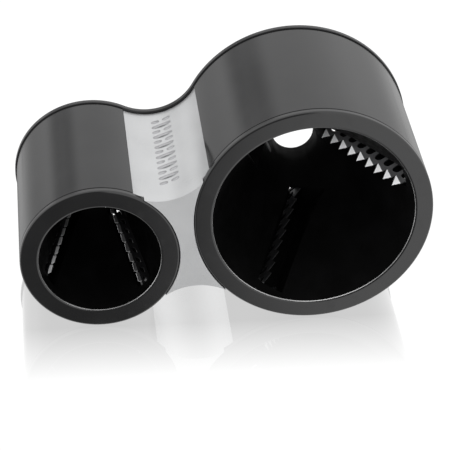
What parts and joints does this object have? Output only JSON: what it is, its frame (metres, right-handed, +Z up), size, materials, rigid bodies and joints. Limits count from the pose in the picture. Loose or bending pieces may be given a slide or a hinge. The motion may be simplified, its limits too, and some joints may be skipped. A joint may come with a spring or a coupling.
{
  "type": "twin-tube spiral vegetable cutter",
  "caption": "Hand-held spiral vegetable cutter: a wide and a narrow funnel with toothed blades, side by side in black tubes joined by a silver concave grip.",
  "frame": {"origin": "middle of the bounding box's base, on the surface that both tubes lie on", "axes": "+X from the small tube to the large tube, +Y along both tube axes from the mouths to the rear, +Z up"},
  "size_m": [0.132, 0.0576, 0.077],
  "materials": {
    "housing_black": "moulded gloss black",
    "funnel_black": "moulded gloss black, rubbed inside",
    "silver_cover": "satin silver paint",
    "blade_steel": "ground and brushed",
    "screw_steel": "plated"
  },
  "bodies": {
    "root": {"large_blade_clamp_1": "funnel_black", "large_blade_clamp_2": "funnel_black", "large_blade_clamp_3": "funnel_black", "large_comb_1": "blade_steel", "large_comb_2": "blade_steel", "large_comb_3": "blade_steel", "large_funnel": "funnel_black", "large_tube_shell": "housing_black", "rear_frame": "housing_black", "rear_screw_1": "screw_steel", "rear_screw_2": "screw_steel", "small_blade_clamp_1": "funnel_black", "small_blade_clamp_2": "funnel_black", "small_blade_clamp_3": "funnel_black", "small_comb_1": "blade_steel", "small_comb_2": "blade_steel", "small_comb_3": "blade_steel", "small_funnel": "funnel_black", "small_tube_shell": "housing_black", "waist_cover": "silver_cover"}
  },
  "joints": []
}
